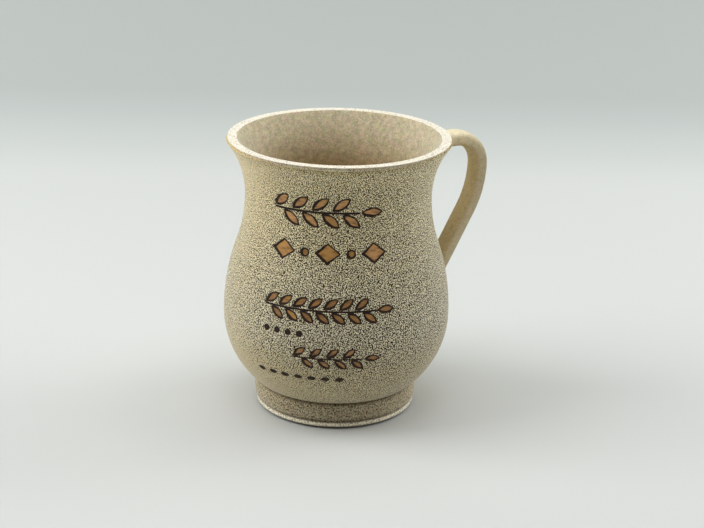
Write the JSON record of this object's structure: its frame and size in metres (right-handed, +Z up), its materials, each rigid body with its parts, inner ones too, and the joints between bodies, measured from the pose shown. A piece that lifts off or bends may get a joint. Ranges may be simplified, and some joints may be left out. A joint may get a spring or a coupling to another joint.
{
  "type": "ritual hand-washing cup",
  "caption": "Flared and bellied cast-stone cup for ritual hand washing, with a strap handle, a barrelled foot on a felt pad and engraved leaf bands.",
  "frame": {"origin": "centre of the resting face, on the cup's axis", "axes": "+Z up along the cup's axis, +X towards the handle"},
  "size_m": [0.1319, 0.1062, 0.13],
  "materials": {
    "speckled_stone": "fine sandstone speckle, matte, paler on the lip and the bead",
    "smooth_stone": "smoother and browner than the cup, satin matte",
    "felt": "short dense felt",
    "dark_line": "matte dark brown enamel",
    "brown_colour": "matte ochre brown enamel"
  },
  "bodies": {
    "root": {"cup_body": "speckled_stone", "handle": "smooth_stone", "foot_ring": "speckled_stone", "base_plate": "speckled_stone", "base_pad": "felt", "upper_sprig_lines": "dark_line", "upper_sprig_colour": "brown_colour", "lozenge_chain_lines": "dark_line", "lozenge_chain_colour": "brown_colour", "middle_sprig_lines": "dark_line", "middle_sprig_colour": "brown_colour", "dot_row_lines": "dark_line", "lower_sprig_lines": "dark_line", "lower_sprig_colour": "brown_colour", "seed_row_lines": "dark_line"}
  },
  "joints": []
}
